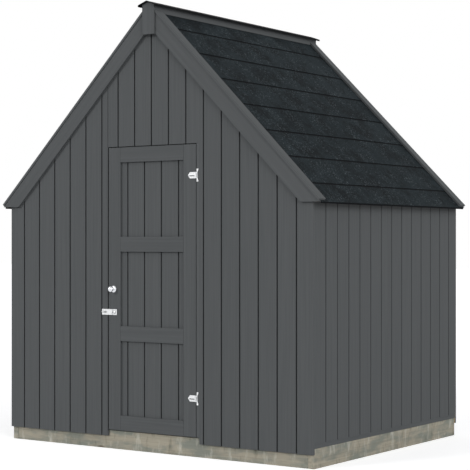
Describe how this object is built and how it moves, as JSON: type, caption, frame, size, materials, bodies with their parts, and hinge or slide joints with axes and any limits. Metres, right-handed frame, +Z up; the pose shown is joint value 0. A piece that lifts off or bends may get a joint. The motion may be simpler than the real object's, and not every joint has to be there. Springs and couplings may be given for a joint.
{
  "type": "wooden garden shed",
  "caption": "Timber garden shed with a steep shingled gable roof, vertical board walls and a framed plank door that swings outward.",
  "frame": {"origin": "on the ground, under the middle of the roof", "axes": "+X to the right along the front, -Y out of the front gable, +Z up"},
  "size_m": [2.5656, 2.025, 2.906],
  "materials": {
    "base_timber": "rough sawn, pressure treated and weathered",
    "painted_cladding": "matt dark grey opaque stain on planed softwood",
    "painted_trim": "matt dark grey opaque stain on planed softwood",
    "bare_softwood": "planed, untreated",
    "shingles": "bitumen shingle with dark slate granules",
    "black_metal": "matt black coated folded steel",
    "zinc_plate": "bright zinc plated pressed steel",
    "polished_metal": "polished"
  },
  "bodies": {
    "shed": {"base_front_beam": "base_timber", "base_back_beam": "base_timber", "base_left_beam": "base_timber", "base_right_beam": "base_timber", "floor_joists": "bare_softwood", "floor_deck": "bare_softwood", "front_wall_left": "painted_cladding", "front_wall_right": "painted_cladding", "front_gable": "painted_cladding", "back_wall": "painted_cladding", "left_wall": "painted_cladding", "right_wall": "painted_cladding", "sill_strips": "painted_trim", "corner_posts": "bare_softwood", "sole_plates": "bare_softwood", "side_studs": "bare_softwood", "gable_studs": "bare_softwood", "wall_plates": "bare_softwood", "hinge_strip": "painted_trim", "door_posts": "painted_trim", "door_head": "painted_trim", "door_stops": "painted_trim", "ridge_beam": "bare_softwood", "rafters": "bare_softwood", "left_roof_deck": "bare_softwood", "right_roof_deck": "bare_softwood", "left_shingles": "shingles", "right_shingles": "shingles", "front_barge_boards": "painted_trim", "back_barge_boards": "painted_trim", "front_cover_boards": "painted_trim", "back_cover_boards": "painted_trim", "front_finial": "painted_trim", "back_finial": "painted_trim", "ridge_block": "painted_trim", "ridge_cap": "black_metal", "hinge_plates": "zinc_plate", "hasp_staple": "zinc_plate"},
    "door": {"door_boards": "painted_cladding", "door_stiles": "painted_trim", "door_rails": "painted_trim", "hinge_straps": "zinc_plate", "door_knob": "polished_metal", "hasp_plate": "zinc_plate"},
    "hasp": {"hasp_leaf": "zinc_plate"}
  },
  "joints": [
    {"name": "door_hinge", "type": "hinge", "parent": "shed", "child": "door", "pos_m": [0.3585, -0.9645, 1.05], "axis": [0, 0, 1], "range_deg": [0, 170]},
    {"name": "hasp_hinge", "type": "hinge", "parent": "door", "child": "hasp", "pos_m": [-0.324, -0.964, 0.9], "axis": [0, 0, 1], "range_deg": [0, 165]}
  ]
}
